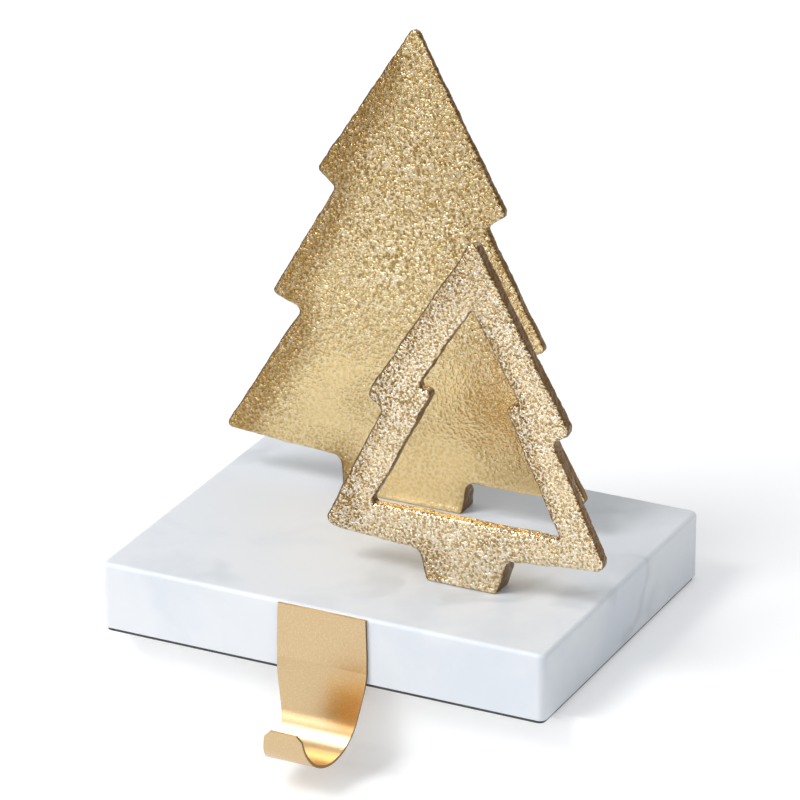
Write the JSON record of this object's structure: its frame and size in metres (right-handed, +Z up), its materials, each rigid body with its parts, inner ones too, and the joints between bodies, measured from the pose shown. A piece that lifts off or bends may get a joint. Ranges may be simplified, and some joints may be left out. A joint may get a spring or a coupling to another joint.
{
  "type": "mantel stocking holder",
  "caption": "Mantel stocking holder with a white marble slab, a tall solid tree and a smaller open tree in rough gold cast metal, and a bent sheet hook on the front face",
  "frame": {"origin": "middle of the underside of the foam sheet, where the holder stands on the mantel", "axes": "+Z is up, -Y is the front, where the hook hangs over the mantel's edge, and +X is to the right seen from the front"},
  "size_m": [0.1539, 0.1428, 0.2014],
  "materials": {
    "white_marble": "honed white marble with faint grey veins",
    "black_foam": "matt closed-cell foam",
    "gold_casting": "sand-cast skin with a pale gold tint and buffed edges",
    "satin_brass": "satin sheet brass tone, fine grain",
    "zinc_steel": "zinc-plated steel"
  },
  "bodies": {
    "root": {"marble_base": "white_marble", "non_slip_sheet": "black_foam", "rear_tree": "gold_casting", "front_tree": "gold_casting", "stocking_hook": "satin_brass", "hook_studs": "satin_brass", "tree_screws": "zinc_steel", "tree_washers": "zinc_steel"}
  },
  "joints": []
}
